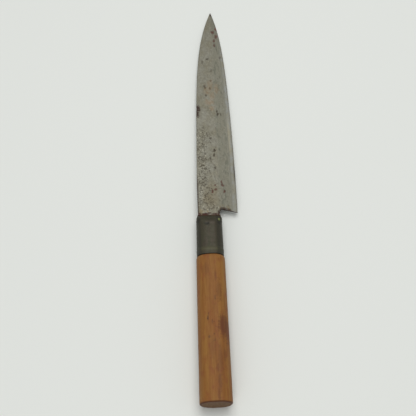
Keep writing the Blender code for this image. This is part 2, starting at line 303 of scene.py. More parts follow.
def turned(rings, closed=False):
    """A surface through rings of points around the X axis, closed on itself or with two poles."""
    rings = np.array(rings)
    count, around = rings.shape[:2]
    points = rings.reshape(-1, 3)
    ids = np.arange(count * around).reshape(count, around)
    ids = np.hstack([ids, ids[:, :1]])
    if closed:
        faces = sheet_faces(np.vstack([ids, ids[:1]])).tolist()
        return points, faces
    faces = sheet_faces(ids).tolist()
    for ring, pole in ((ids[0], len(points)), (ids[-1], len(points) + 1)):
        faces += [(ring[i], ring[i + 1], pole) for i in range(around)]
    poles = np.array([rings[0].mean(axis=0), rings[-1].mean(axis=0)])
    return np.concatenate([points, poles]), faces


# ---------------------------------------------------------------- marks on the surfaces

def scattered(zones, seed):
    """Marks drawn at random: place along and across, reach along and across, strength."""
    draw = np.random.default_rng(seed)
    marks = []
    for start, end, low, high, count, reach, strength in zones:
        for _ in range(count):
            along = draw.uniform(start, end)
            across = draw.uniform(low, high)
            marks.append((
                along,
                across,
                reach * draw.uniform(0.8, 1.4),
                reach * draw.uniform(0.6, 1.0),
                strength * draw.uniform(0.8, 1.1),
            ))
    return marks


# Each zone: along from and to, across from and to, number of marks, reach, strength
RUST = scattered([
    (125.0, 141.0, -11.0, -5.5, 6, 1.1, 0.85),
    (17.0, 27.0, -13.0, -1.0, 7, 0.9, 0.8),
], 11)
STAIN = scattered([
    (78.0, 98.0, -8.5, -1.5, 8, 2.2, 0.35),
], 12)
DARK = scattered([
    (86.0, 118.0, -12.0, 2.5, 9, 0.9, 0.6),
    (70.0, 76.0, -11.0, -7.5, 3, 0.9, 0.7),
    (33.0, 58.0, -9.0, 1.0, 5, 0.9, 0.75),
], 13)
SPINE_DARK = scattered([
    (66.0, 80.0, 5.6, 6.2, 2, 2.2, 0.9),
    (152.0, 153.0, -6.8, -6.2, 1, 1.5, 1.0),
], 14)
PIT_ZONES = [
    # along from and to, across from and to, number of pits, depth
    (8.0, 62.0, -3.5, 5.5, 210, 0.10),
    (8.0, 60.0, -12.0, -3.0, 80, 0.06),
    (60.0, 145.0, -13.0, 5.0, 130, 0.04),
    (4.0, 26.0, -15.5, 5.5, 80, 0.08),
    (60.0, 104.0, -14.5, -8.0, 30, 0.07),
]

SCAR_ZONES = [
    # along from and to, across from and to, number of grooves, strength
    (22.0, 44.0, 0.3, 5.4, 42, 1.0),
    (44.0, 64.0, 0.6, 5.6, 26, 0.8),
    (3.5, 22.0, -4.0, 5.6, 34, 0.8),
    (6.0, 64.0, -13.5, 0.0, 46, 0.5),
    (64.0, 140.0, -12.0, 4.0, 60, 0.4),
]

# Each mark: place along and across, reach along and across, then a dent's depth or a stain's strength
FERRULE_DENTS = [
    (-7.2, 1.9, 0.8, 0.9, 0.18),
    (-5.0, 7.2, 1.0, 1.0, 0.16),
    (-5.8, -5.6, 1.1, 1.0, 0.16),
    (-17.0, -1.5, 1.6, 1.2, 0.05),
]
FERRULE_DARK = [
    (-7.3, 1.7, 1.1, 1.3, 0.9),
    (-5.0, 7.4, 1.2, 1.2, 0.7),
    (-5.9, -6.0, 1.3, 1.1, 0.8),
]
HANDLE_GRIME = [
    (-42.5, -2.0, 3.0, 0.7, 0.35),
    (-52.0, -3.9, 6.0, 1.6, 0.4),
    (-38.0, 4.0, 3.5, 2.0, 0.25),
    (-74.0, -5.6, 6.5, 2.6, 0.75),
    (-77.5, -8.2, 6.0, 1.6, 0.7),
    (-96.0, -3.2, 9.0, 1.4, 0.35),
    (-109.0, -2.3, 6.0, 1.0, 0.5),
    (-116.5, -1.4, 4.0, 0.9, 0.45),
    (-92.5, -6.0, 3.0, 1.2, 0.35),
    (-88.0, 1.5, 6.0, 1.8, 0.25),
    (-101.0, -1.6, 3.0, 0.8, 0.4),
]


def marked(points, marks, seed, raggedness=0.45):
    """How strongly each point is marked, with ragged borders."""
    ragged = 1 + raggedness * noise(points, 0.9, seed) + 0.25 * noise(points, 0.45, seed + 1)
    total = np.zeros(len(points))
    for along, across, reach_x, reach_y, strength in marks:
        away = np.hypot((points[:, 0] - along) / reach_x, (points[:, 1] - across) / reach_y)
        total = np.maximum(total, strength * eased(1.55 - away * ragged))
    return total


def scars(points):
    """Short dark grooves eaten into the iron: how deep each point lies in one, from 0 to 1."""
    draw = np.random.default_rng(17)
    depth = np.zeros(len(points))
    for low_x, high_x, low_y, high_y, number, strength in SCAR_ZONES:
        for _ in range(number):
            middle = np.array([draw.uniform(low_x, high_x), draw.uniform(low_y, high_y)])
            half_length, half_width = draw.uniform(0.6, 1.5), draw.uniform(0.28, 0.48)
            slant = draw.normal(0.5, 0.9)
            deep = strength * draw.uniform(0.5, 1.0)
            away = points[:, :2] - middle
            near = np.abs(away).max(axis=1) < 3 * half_length
            away = away[near]
            along = away @ [math.cos(slant), math.sin(slant)]
            across = away @ [-math.sin(slant), math.cos(slant)] + 0.25 * along**2
            inside = (along / half_length) ** 4 + (across / half_width) ** 2
            depth[near] = np.maximum(depth[near], deep * np.exp(-inside))
    return depth


def pits(points):
    """Depth of the corrosion pits at each point, in millimetres."""
    draw = np.random.default_rng(11)
    depth = np.zeros(len(points))
    order = np.argsort(points[:, 0])
    along = points[order, 0]
    for low_x, high_x, low_y, high_y, number, deepest in PIT_ZONES:
        for _ in range(number):
            x, y = draw.uniform(low_x, high_x), draw.uniform(low_y, high_y)
            reach = draw.uniform(0.22, 0.62)
            stretch = draw.uniform(0.7, 1.5)
            deep = deepest * draw.uniform(0.35, 1.0)
            near = order[np.searchsorted(along, x - 3 * reach):np.searchsorted(along, x + 3 * reach)]
            away = ((points[near, 0] - x) / (reach * stretch)) ** 2
            away += ((points[near, 1] - y) / reach) ** 2
            depth[near] = np.maximum(depth[near], deep * np.exp(-away))
    return depth


# ---------------------------------------------------------------- the blade

def heel_x(y):
    return HEEL + (y - edge_y(HEEL)) * HEEL_LEAN


def blade_start(y):
    """The blade's back line: the heel, the notch's round corner, then across under the neck."""
    low = -NECK_HALF_WIDTH
    to_handle = Vector((-1.0, 0.0))
    to_heel = Vector((-HEEL_LEAN, -1.0)).normalized()
    half_angle = to_handle.angle(to_heel) / 2
    corner = Vector((heel_x(low), low))
    centre = corner + (to_handle + to_heel).normalized() * (NOTCH_RADIUS / math.sin(half_angle))
    touch = corner + to_heel * (NOTCH_RADIUS / math.tan(half_angle))
    arc = centre.x + np.sqrt(np.clip(NOTCH_RADIUS**2 - (y - centre.y) ** 2, 0, None))
    across = centre.x + (y - low) * HEEL_LEAN
    return np.where(y < touch.y, heel_x(y), np.where(y < low, arc, across))


def bevel_z(x, y):
    """Height of the bevel's plane, which falls from the ridge to the cutting edge."""
    height = (spine_y(x) - edge_y(x)) * BEVEL_SHARE
    rise = flat_top(x) - FLAT_SIDE - EDGE_LEFT
    return FLAT_SIDE + EDGE_LEFT + rise * (y - edge_y(x)) / height


def weld_line_z(x):
    """Height of the joint between iron and steel, which wanders as it was forged."""
    line = np.stack([x, 0 * x, 0 * x], axis=1)
    return steel_top(x) + 0.07 * noise(line, 9.0, 21) + 0.03 * noise(line, 3.1, 22)


def weld_y(x):
    height = (spine_y(x) - edge_y(x)) * BEVEL_SHARE
    rise = flat_top(x) - FLAT_SIDE - EDGE_LEFT
    return edge_y(x) + height * (weld_line_z(x) - FLAT_SIDE - EDGE_LEFT) / rise


def nose(x):
    """Narrows the last bit of the blade to a rounded point."""
    past = np.clip((x - TIP + TIP_NOSE) / TIP_NOSE, 0, 1)
    return np.sqrt(1 - 0.85 * past**2)


def blade_rows(x, groups):
    """Y of each row of points at each x, as an array of rows by x."""
    spine, edge = spine_y(x), edge_y(x)
    small = np.minimum(1, (spine - edge) / 6)
    ridge = edge + (spine - edge) * BEVEL_SHARE
    notch = ridge + NOTCH_BAND * small
    weld = weld_y(x)
    marks = {"spine": spine, "round": spine - SPINE_ROUND * small, "notch": notch,
             "ridge": ridge, "weld": weld, "edge": edge}
    rows = []
    for start, end, shares in groups:
        rows += [mixed(marks[start], marks[end], share) for share in shares]
    middle = (spine + edge) / 2
    return middle + (np.array(rows) - middle) * nose(x)


def even(count, last=False):
    return np.linspace(0, 1, count, endpoint=last)


def blade_columns():
    """Shares of the blade's length, fine enough at the heel's corner to round it."""
    main = np.arange(0.42 + GRID, BLADE - 1, GRID) / BLADE
    end = 1 - (1 - even(8, True)) ** 1.5 * (1 - main[-1])
    return np.concatenate([ROUNDING / BLADE, main, end[1:]])


def blade_grid(groups):
    """The rows' places across at the heel and where each starts, then X and Y of all points."""
    heel_rows = blade_rows(np.array([HEEL]), groups)[:, 0]
    starts = blade_start(heel_rows)
    x = starts[:, None] + (TIP - starts[:, None]) * blade_columns()[None, :]
    y = np.empty_like(x)
    for row in range(len(x)):
        y[row] = blade_rows(x[row], groups)[row]
    return heel_rows, starts, x, y


def rounded_drop(distance, radius):
    """How far a rounded corner lies below the surface at a distance from the wall."""
    inside = np.clip(radius - distance, 0, radius)
    return radius - np.sqrt(radius**2 - inside**2)


def ruggedness(points):
    """Slow unevenness left by forging, grinding and a long life."""
    wide = 0.045 * noise(points, (16.0, 9.0, 9.0), 31)
    fine = 0.02 * noise(points, (4.5, 3.0, 3.0), 32)
    grinding = 0.006 * noise(points, (2.0, 0.9, 0.9), 33)
    return wide + fine + grinding


def iron_piece(material):
    # Rows from the spine to the weld line; the neck shares those down to the notch
    neck_end = 1 - ROUNDING[:0:-1] / 14.0
    groups = [
        ("spine", "round", ROUNDING[:-1] / SPINE_ROUND),
        ("round", "notch", np.concatenate([even(45)[:44], neck_end])),
        ("notch", "ridge", np.array([0, 0.02, 0.08, 0.2, 0.38, 0.62])),
        ("ridge", "weld", even(27, True)),
    ]
    neck_rows = len(groups[0][2]) + len(groups[1][2]) + 1
    heel_rows, starts, x, y = blade_grid(groups)
    top = np.minimum(flat_top(x), bevel_z(x, y))
    small = np.minimum(1, (spine_y(x) - edge_y(x)) / 6)
    top -= rounded_drop((spine_y(x) - y) / small, SPINE_ROUND) * small
    behind = x - starts[:, None]
    heel_corner = rounded_drop(behind + HEEL_ROUND * 0.6, HEEL_ROUND)
    top[neck_rows:] -= heel_corner[neck_rows:]
    weld_z = weld_line_z(x.ravel()).reshape(x.shape)
    low = weld_z + WELD_GAP
    top[-1] = low[-1] + 0.02
    ridge_wear = np.exp(-(((y - edge_y(x)) / (spine_y(x) - edge_y(x)) - BEVEL_SHARE) / 0.012) ** 2)
    top -= 0.05 * ridge_wear * small

    # The neck and the tang, behind the blade
    shares = (heel_rows[0] - heel_rows[:neck_rows]) / (heel_rows[0] - heel_rows[neck_rows - 1])
    hidden = np.linspace(TANG_END, -1.6, 40)
    seen = even(26, True)[1:]
    tang_x = np.concatenate([
        np.broadcast_to(hidden, (neck_rows, len(hidden))),
        mixed(-1.6, starts[:neck_rows, None] - 0.05, seen[None, :]),
    ], axis=1)
    stations = [TANG_END, TANG_ROOT, -MOUTH_WALL]
    half = np.interp(tang_x, stations, [TANG_END_HALF, TANG_ROOT_HALF, NECK_HALF_WIDTH])
    high = np.maximum(half, mixed(NECK_HALF_WIDTH, heel_rows[0], eased(tang_x / 6)) * (tang_x > 0))
    tang_y = mixed(high, -half, shares[:, None])
    meets = eased(1 - (starts[:neck_rows, None] - tang_x) / 2.5)
    tang_top = mixed(NECK_HALF_THICKNESS, top[:neck_rows, :1], meets)
    side = np.minimum(high - tang_y, tang_y + half)
    tang_top -= rounded_drop(side, 0.3) * (1 - 0.6 * meets)
    tang_low = np.full_like(tang_x, -NECK_HALF_THICKNESS) + rounded_drop(side, 0.3)

    # One set of points: the tang's columns, then the blade's
    blade_ids = np.arange(x.size).reshape(x.shape)
    tang_ids = x.size + np.arange(tang_x.size).reshape(tang_x.shape)
    joined = np.hstack([tang_ids, blade_ids[:neck_rows, :1]])
    quads = np.concatenate([sheet_faces(blade_ids), sheet_faces(joined)])
    blade_points = np.stack([x.ravel(), y.ravel()], 1)
    tang_points = np.stack([tang_x.ravel(), tang_y.ravel()], 1)
    across = np.concatenate([blade_points, tang_points])
    upper = np.column_stack([across, np.concatenate([top.ravel(), tang_top.ravel()])])
    lower = np.column_stack([across, np.concatenate([low.ravel(), tang_low.ravel()])])

    beads = eased(0.5 + 1.6 * noise(upper, (1.3, 0.95, 1.0), 49))
    at_mouth = eased((MOUTH_RUST + 0.5 * noise(upper, 1.3, 48) - upper[:, 0]) / 0.7)
    rust = np.maximum(marked(upper, RUST, 41), 0.45 * at_mouth * beads)
    pit = pits(upper)
    scar = scars(upper)
    above_weld = y - weld_y(x.ravel()).reshape(x.shape)
    on_blade = eased(np.minimum(spine_y(x) - y, above_weld) / 0.8)
    inner = np.concatenate([on_blade.ravel(), eased(side / 0.5).ravel()])
    upper[:, 2] += (ruggedness(upper) - pit - 0.09 * scar) * inner
    upper[:, 2] += 0.05 * rust * (1 + noise(upper, 0.5, 43)) * inner
    upper[:, 2] = np.maximum(upper[:, 2], lower[:, 2] + 0.015)
    layers = iron_layers(upper, rust, np.clip(pit / 0.08, 0, 1) * 0.6, scar, at_mouth * beads)
    points, faces = plate(upper, lower, quads, 4)
    whole = {}
    for name, values in layers.items():
        whole[name] = spread_down(points, values)
    return laid("blade_iron_forged", "blade_iron", points, faces, material, whole)


def spread_down(points, values):
    """Gives the walls and the underside the values of the nearest points above them."""
    count = len(values)
    tree = KDTree(count)
    for index in range(count):
        tree.insert(points[index], index)
    tree.balance()
    rest = [values[tree.find(point)[1]] for point in points[count:]]
    return np.concatenate([values, rest])


def pale_line(x, above_edge):
    """A lighter line that runs along the middle of the blade, just inside its edge."""
    return eased(1.2 - np.abs(above_edge - 2.1) / 0.9) * eased(1.4 - np.abs(x - 57) / 13)


def iron_layers(points, rust, pit, scar, mouth_rust):
    """What the materials read at each point of the iron."""
    x, y = points[:, 0], points[:, 1]
    height = spine_y(x) - edge_y(x)
    share = (y - edge_y(x)) / height
    spine_rust = marked(points, SPINE_DARK, 51)
    strip = eased(1 - (spine_y(x) - y) / 1.3) * eased((30 - x) / 6)
    heel_band = eased(1.4 - (x - blade_start(y)) / 1.3) * (y < -NECK_HALF_WIDTH)
    # The neck's edge side for its first few millimetres out of the ferrule: rust and painted shade
    neck_rust_and_shade = eased(1.3 - (y + NECK_HALF_WIDTH) / 1.3) * eased((5.0 - x) / 2) * (y > -NECK_HALF_WIDTH - 0.5)
    pitted_length = eased((x - 6) / 4) * eased((64 - x) / 6)
    worms = pitted_length * eased((y + 0.5) / 1.5) + 0.45 * eased((10 - x) / 4) * (y > -NECK_HALF_WIDTH)
    heel_back = eased(1.5 - (x - blade_start(y)) / 2.6) * (y < -NECK_HALF_WIDTH)
    return {
        "rust": rust,
        "stain": marked(points, STAIN, 45),
        "dark": np.maximum.reduce([marked(points, DARK, 47), spine_rust, pit, 0.95 * scar]),
        "bevel": eased((BEVEL_SHARE - share) / 0.03 + 0.5),
        "brown": np.maximum.reduce([spine_rust, strip * 0.9, heel_band * 0.9, neck_rust_and_shade, mouth_rust]),
        "heel": heel_back + eased((6 - x) / 3) * (y > 0),
        "tan": eased(1 - np.abs(x - 14) / 13) * eased(1.6 - np.abs(y + 1.2) / 4.2),
        "worms": np.clip(worms + 0.22, 0, 1),
        "pale": pale_line(x, y - edge_y(x)),
    }


def steel_piece(material):
    groups = [
        ("spine", "weld", even(COVERED_ROWS)),
        ("weld", "edge", np.concatenate([even(13), [0.96, 1.0]])),
    ]
    heel_rows, starts, x, y = blade_grid(groups)
    x[heel_rows >= -NECK_HALF_WIDTH] += WELD_GAP
    weld_z = weld_line_z(x.ravel()).reshape(x.shape)
    top = np.minimum(bevel_z(x, y), weld_z)
    behind = x - starts[:, None]
    heel_corner = rounded_drop(behind + HEEL_ROUND * 0.6, HEEL_ROUND)
    top[COVERED_ROWS:] -= heel_corner[COVERED_ROWS:] * 0.8
    height = spine_y(x) - edge_y(x)
    from_rim = np.minimum.reduce([spine_y(x) - y, y - edge_y(x), behind + 0.5, (TIP - x) * 0.6])
    hollow = HOLLOW * eased((from_rim - 1.2) / 5) * np.minimum(1, height / 20)
    corner = rounded_drop(spine_y(x) - y, 0.3) * np.minimum(1, height / 6)
    low = FLAT_SIDE + hollow + corner
    quads = sheet_faces(np.arange(x.size).reshape(x.shape))
    across = np.stack([x.ravel(), y.ravel()], 1)
    upper = np.column_stack([across, top.ravel()])
    lower = np.column_stack([across, low.ravel()])
    exposed = np.zeros(x.shape)
    exposed[COVERED_ROWS + 1:-2] = 1
    upper[:, 2] += 0.012 * noise(upper, (3.0, 1.0, 1.0), 61) * exposed.ravel()
    upper[:, 2] -= 0.6 * pits(upper) * exposed.ravel()
    upper[:, 2] = np.maximum(upper[:, 2], lower[:, 2] + 0.05)
    line = np.column_stack([across[:, 0], 0 * across])
    nicks = 0.07 * noise(line, 1.7, 62) + 0.05 * noise(line, 0.7, 63)
    above_edge = across[:, 1] - edge_y(across[:, 0])
    near_edge = eased(1 - above_edge / 0.8) * eased((TIP - across[:, 0]) / 6)
    for surface in (upper, lower):
        surface[:, 1] += np.abs(nicks) * near_edge
    # Darker along the cutting edge for a stretch around X = 31.5
    edge_dark_line = 0.9 * eased(1.2 - above_edge / 1.2) * eased(1.3 - np.abs(across[:, 0] - 31.5) / 7)
    layers = {
        "rust": marked(upper, RUST, 41),
        "dark": np.maximum(marked(upper, DARK, 47), edge_dark_line),
        "weld": eased(1 - (weld_y(across[:, 0]) - across[:, 1]) / 0.7),
        "thin": eased(1.2 - above_edge / 0.7),
        "pale": pale_line(across[:, 0], above_edge),
        "strip": eased((weld_y(across[:, 0]) - across[:, 1] - 0.5) / 1.2),
        "heel": eased(1.2 - behind.ravel() / 0.35),
    }
    points, faces = plate(upper, lower, quads, 2)
    whole = {name: spread_down(points, values) for name, values in layers.items()}
    return laid("blade_edge_steel", "edge_steel", points, faces, material, whole)


# ---------------------------------------------------------------- ferrule, packing and handle

def oval(x, sizes, around, fullness=FULLNESS, ridged=1.0):
    """A full oval across the knife at x, with a soft ridge on its upper side."""
    angle = 2 * math.pi * np.arange(around) / around
    across, up = np.cos(angle), np.sin(angle)
    y = np.copysign(np.abs(across) ** (2 / fullness), across)
    z = np.copysign(np.abs(up) ** (2 / fullness), up)
    away = np.sqrt((y - RIDGE_PLACE) ** 2 + 0.06**2) - 0.06
    ridge = np.clip(1 - away / RIDGE_REACH, 0, None) * np.clip(z, 0, None)
    ridge = 0.9 * RIDGE_HEIGHT * ridged * ridge * eased(0.4 + ridge * 3)
    return np.stack([np.full(around, x), y * sizes[0], z * sizes[1] + ridge], axis=1)


def slot_ring(x, half_y, half_z, around, power=9.0):
    """A rectangle with slightly rounded corners across the knife at x."""
    angle = 2 * math.pi * np.arange(around) / around
    flat = math.atan2(half_z, half_y)
    # spend more of the points on the two long sides
    angle = angle - 0.5 * (1 - flat / math.pi) * np.sin(2 * angle) * 0.9
    across, up = np.cos(angle), np.sin(angle)
    reach = (np.abs(across / half_y) ** power + np.abs(up / half_z) ** power) ** (-1 / power)
    return np.stack([np.full(around, x), across * reach, up * reach], axis=1)


def facing(points, halves):
    """How far out each point lies, 1 on an ellipse of these half-sizes, and which way it faces."""
    outward = np.hypot(points[:, 1] / halves[0], points[:, 2] / halves[1])
    normal = np.stack([0 * outward, points[:, 1] / halves[0]**2, points[:, 2] / halves[1]**2], axis=1)
    normal /= np.maximum(np.linalg.norm(normal, axis=1, keepdims=True), 1e-9)
    return outward, normal


def ferrule_sizes(x):
    share = (x - FERRULE_REAR) / (-CHAMFER_RUN - FERRULE_REAR)
    return REAR_SIZES + share * (FRONT_SIZES - REAR_SIZES)


def nose_ring(x, around, wall=(0.0, 0.0)):
    """Across the ferrule's nose, domed from its mouth to its full thickness."""
    share = -x / NOSE_LENGTH
    run = -x / CHAMFER_RUN
    chamfer = max(0.0, (run + 1 - math.sqrt((run - 1) ** 2 + 0.01)) / 2)
    shares = np.array([chamfer, math.sin(share * math.pi / 2)])
    sizes = mixed(MOUTH_SIZES, ferrule_sizes(min(x, -CHAMFER_RUN)), shares)
    fullness = mixed(MOUTH_FULLNESS, FULLNESS, eased(share))
    return oval(x, sizes - wall, around, fullness, share)


def ferrule_piece(material):
    around = 240
    slot_y = NECK_HALF_WIDTH + SLOT_CLEARANCE
    slot_z = NECK_HALF_THICKNESS + SLOT_CLEARANCE
    inner = slot_ring(0.0, slot_y, slot_z, around)
    rim = oval(0.0, MOUTH_SIZES - MOUTH_ROUND, around, MOUTH_FULLNESS, 0.0)
    rings = [mixed(inner, rim, share) for share in even(4)]
    for turn in even(4):
        angle = turn * math.pi / 2
        sizes = MOUTH_SIZES - MOUTH_ROUND * (1 - math.sin(angle))
        rings.append(oval(-MOUTH_ROUND * (1 - math.cos(angle)), sizes, around, MOUTH_FULLNESS, 0.0))
    for x in np.linspace(-0.4, -NOSE_LENGTH, 26):
        rings.append(nose_ring(x, around))
    for x in np.arange(-NOSE_LENGTH - 0.25, FERRULE_REAR + 0.35, -0.25):
        past_bead = x - FERRULE_REAR - BEAD_MIDDLE
        bead = BEAD_HEIGHT * math.exp(-((past_bead / (BEAD_WIDTH / 3)) ** 4))
        groove = 0.05 * math.exp(-(((past_bead - BEAD_WIDTH * 0.75) / 0.3) ** 2))
        rings.append(oval(x, ferrule_sizes(x) + bead - groove, around))
    for turn in even(5, True):
        angle = turn * math.pi / 2
        x = FERRULE_REAR + 0.25 * (1 - math.sin(angle))
        rings.append(oval(x, ferrule_sizes(FERRULE_REAR) - 0.25 * (1 - math.cos(angle)), around))
    rings.append(oval(FERRULE_REAR, REAR_SIZES - FERRULE_WALL + 0.1, around))
    for x in np.linspace(FERRULE_REAR + 0.1, -NOSE_LENGTH, 8):
        rings.append(oval(x, ferrule_sizes(x) - FERRULE_WALL, around))
    for x in np.linspace(-NOSE_LENGTH + 0.8, -MOUTH_WALL, 7):
        wall = mixed(NOSE_WALL, FERRULE_WALL, -x / NOSE_LENGTH)
        rings.append(nose_ring(x, around, (FERRULE_WALL, wall)))
    slot_rear = slot_ring(-MOUTH_WALL, slot_y, slot_z, around)
    last = rings[-1]
    rings += [mixed(last, slot_rear, share) for share in (0.5, 1.0)]
    for x in (-MOUTH_WALL / 2, -0.08):
        rings.append(slot_ring(x, slot_y, slot_z, around))
    points, faces = turned(rings, closed=True)

    # Dents and unevenness on the outside only
    outward, normal = facing(points, FERRULE_HALVES)
    on_body = eased((outward - 0.93) / 0.05)
    on_nose = (np.arange(len(points)) < NOSE_RINGS * around) * eased((-points[:, 0] - 0.3) / 0.6)
    skin = np.where(points[:, 0] > -NOSE_LENGTH - 0.1, on_nose, on_body)
    sink = 0.03 * (1 + noise(points, (8.0, 5.0, 5.0), 71)) + 0.012 * (1 + noise(points, 1.6, 72))
    upper = points[:, 2] > 0
    for along, across, reach_x, reach_y, deep in FERRULE_DENTS:
        skew = points[:, 1] - across + 0.7 * (points[:, 0] - along)
        away = ((points[:, 0] - along) / reach_x) ** 2 + (skew / reach_y) ** 2
        sink = sink + deep * np.exp(-away) * upper
    scratch = 0.04 * np.exp(-(((points[:, 0] + 7.3) / 0.22) ** 2)) * upper
    points = points - normal * (skin * (sink + scratch))[:, None]
    # A small bright greenish-yellow spot near the front of the ferrule, on its edge side
    bright_spot = np.exp(-(((points[:, 0] + 4.0) / 0.8) ** 2 + ((points[:, 1] + 5.9) / 0.45) ** 2)) * upper
    edge = np.exp(-(((points[:, 0] - FERRULE_REAR - BEAD_MIDDLE) / 1.3) ** 2))
    # Darker at the rear rim, painted shade in the joint with the wood, and darker at the mouth
    rim = eased(1 - (points[:, 0] - FERRULE_REAR) / 0.6) + 0.6 * eased(1 + points[:, 0] / 0.9)
    layers = {
        "bright_spot": np.clip(bright_spot, 0, 1), "edge": edge * skin, "rim": np.clip(rim, 0, 1),
        "dark": marked(points, FERRULE_DARK, 73) * upper,
        # The ferrule's two sides are painted darker: painted shade on the faces turned away from the light
        "side_shade": eased((points[:, 1] - 5.6) / 0.7) + eased((-3.9 - points[:, 1]) / 0.5),
    }
    return laid("ferrule_cap", "ferrule", points, faces, material, layers)


def seal_piece(material):
    around = 200
    rings = []
    hole_y, hole_z = NECK_HALF_WIDTH + SEAL_GAP, NECK_HALF_THICKNESS + SEAL_GAP

    def ring(x, add):
        return slot_ring(x, hole_y + add, hole_z + add, around, 14.0)

    for x in np.linspace(SEAL_PROUD * 0.7, -MOUTH_WALL, 7):
        rings.append(ring(x, 0.0))
    for x in np.linspace(-MOUTH_WALL, SEAL_GAP, 5):
        rings.append(ring(x, SEAL_WALL))
    for turn in np.linspace(0, 1, 9)[1:]:
        lip = math.sin(turn * math.pi) ** 0.7 if turn < 1 else -0.4
        x = mixed(SEAL_GAP, SEAL_PROUD, math.sin(turn * math.pi / 2) ** 1.2)
        rings.append(ring(x, SEAL_WALL + SEAL_LIP * lip * 0.95))
    points, faces = turned(rings, closed=True)
    lumps = 0.5 * (1 + noise(points, (0.9, 1.3, 1.1), 81))
    points[:, 0] -= eased(points[:, 0] / 0.3) * 0.28 * lumps
    return laid("neck_packing", "neck_seal", points, faces, material, {"lumps": lumps})


def handle_piece(material):
    around = 264
    tenon_front = -NOSE_LENGTH - TENON_CLEARANCE
    chamfer_front = BUTT + BUTT_CHAMFER
    rings = []
    # Butt face, its worn corner, the long side
    for share in np.linspace(0.04, 1.0, 16):
        rings.append(oval(BUTT, (WIDEST_SIZES - BUTT_CHAMFER) * share, around))
    for share in np.linspace(0.0, 1.0, 6)[1:]:
        soft = share - 0.08 * math.sin(2 * math.pi * share)
        sizes = WIDEST_SIZES - BUTT_CHAMFER * (1 - soft)
        rings.append(oval(mixed(BUTT, chamfer_front, share), sizes, around))
    shoulder_rear = WOOD_FRONT - WOOD_SHOULDER
    proud = REAR_SIZES + WOOD_STEP
    for x in np.arange(chamfer_front + 0.3, shoulder_rear, 0.3):
        share = (x - chamfer_front) / (shoulder_rear - chamfer_front)
        rings.append(oval(x, mixed(WIDEST_SIZES, proud, share), around))
    for turn in np.linspace(0.05, 1, 12):
        fall = 1 - math.sqrt(max(0.0, 1 - turn**2.6))
        rings.append(oval(mixed(shoulder_rear, WOOD_FRONT, turn), proud - (WOOD_STEP + 0.25) * fall, around))
    inside = -FERRULE_WALL - TENON_CLEARANCE
    rings.append(oval(WOOD_FRONT, REAR_SIZES + inside * 0.6, around))
    rings.append(oval(WOOD_FRONT, REAR_SIZES + inside, around))
    for x in np.linspace(WOOD_FRONT + 0.5, tenon_front, 14):
        rings.append(oval(x, ferrule_sizes(max(x, FERRULE_REAR)) + inside, around))
    hole_z = NECK_HALF_THICKNESS + TANG_CLEARANCE
    half = np.interp(tenon_front, [TANG_ROOT, -MOUTH_WALL], [TANG_ROOT_HALF, NECK_HALF_WIDTH])
    half = half + TANG_CLEARANCE
    mouth = slot_ring(tenon_front, half, hole_z, around)
    rings.append(mixed(rings[-1], mouth, 0.5))
    rings.append(mouth)
    for x in np.concatenate([[TANG_ROOT], np.linspace(TANG_ROOT, TANG_END - TANG_CLEARANCE, 20)[1:]]):
        half = np.interp(x, [TANG_END, TANG_ROOT], [TANG_END_HALF, TANG_ROOT_HALF]) + TANG_CLEARANCE
        rings.append(slot_ring(x, half, hole_z, around))
    points, faces = turned(rings)

    # Grain, pores and small dents stand in the surface of the wood
    outside = (points[:, 0] < WOOD_FRONT + 0.01)
    reach, normal = facing(points, HANDLE_HALVES)
    skin = eased((reach - 0.9) / 0.06) * outside
    grain = 0.05 * (1 + noise(points, (26.0, 1.5, 1.5), 91)) + 0.02 * (1 + noise(points, (9.0, 0.7, 0.7), 92))
    wear = 0.06 * (1 + noise(points, (14.0, 8.0, 8.0), 93))
    points = points - normal * (skin * (grain + wear) * 0.6)[:, None]
    butt = points[:, 0] < BUTT + 0.02
    dents = 0.05 * (1 + noise(points, (9.0, 1.2, 1.2), 94)) + 0.02 * (1 + noise(points, 0.5, 95))
    points[:, 0] += butt * dents

    top = points[:, 2] > 0
    grime = marked(points, HANDLE_GRIME, 96, 0.3) * top
    # A few faint rubbed ink flecks, scattered without any shape
    draw = np.random.default_rng(7)
    flecks = []
    for _ in range(9):
        flecks.append((
            draw.uniform(-92, -52),
            draw.uniform(-1.2, 3.6),
            draw.uniform(0.5, 1.4),
            draw.uniform(0.2, 0.5),
            draw.uniform(0.3, 0.7),
        ))
    layers = {
        "grime": grime,
        "flecks": marked(points, flecks, 97, 0.5) * top,
        "butt": eased((BUTT + 1.0 - points[:, 0]) / 0.6),
        # Darker towards the ferrule: painted shade in the joint between wood and ferrule
        "front": eased(1 - (WOOD_FRONT - points[:, 0]) / 1.2),
        "rim": eased((reach - 0.86) / 0.1),
    }
    return laid("handle_wood", "handle", points, faces, material, layers)


# ---------------------------------------------------------------- materials

def colour(red, green, blue):
    """A display colour from 0 to 255 as linear light."""
    shares = [value / 255 for value in (red, green, blue)]
    return tuple(s / 12.92 if s <= 0.04045 else ((s + 0.055) / 1.055) ** 2.4 for s in shares)


